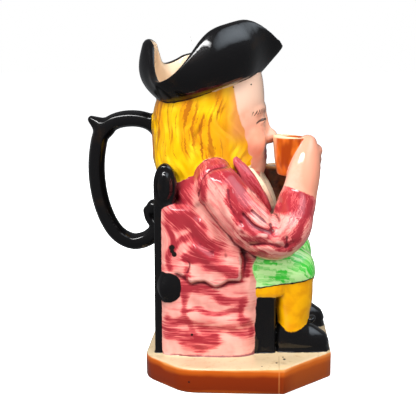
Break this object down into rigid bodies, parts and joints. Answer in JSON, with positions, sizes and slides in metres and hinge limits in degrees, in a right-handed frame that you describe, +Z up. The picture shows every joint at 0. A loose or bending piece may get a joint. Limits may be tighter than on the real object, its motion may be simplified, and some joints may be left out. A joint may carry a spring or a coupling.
{
  "type": "toby jug",
  "caption": "Glazed earthenware toby jug: a seated drinker in a tricorn hat lifting a beaker, hollow, poured from the hat, with a loop handle behind.",
  "frame": {"origin": "on the floor, under the middle of the whole jug with its handle", "axes": "+Z up, -Y the way the figure faces, -X the figure's right hand; the handle is on +Y"},
  "size_m": [0.14, 0.1662, 0.2314],
  "materials": {
    "glazed_body": "high gloss glaze over hand-painted colours"
  },
  "bodies": {
    "root": {"toby_jug": "glazed_body"}
  },
  "joints": []
}
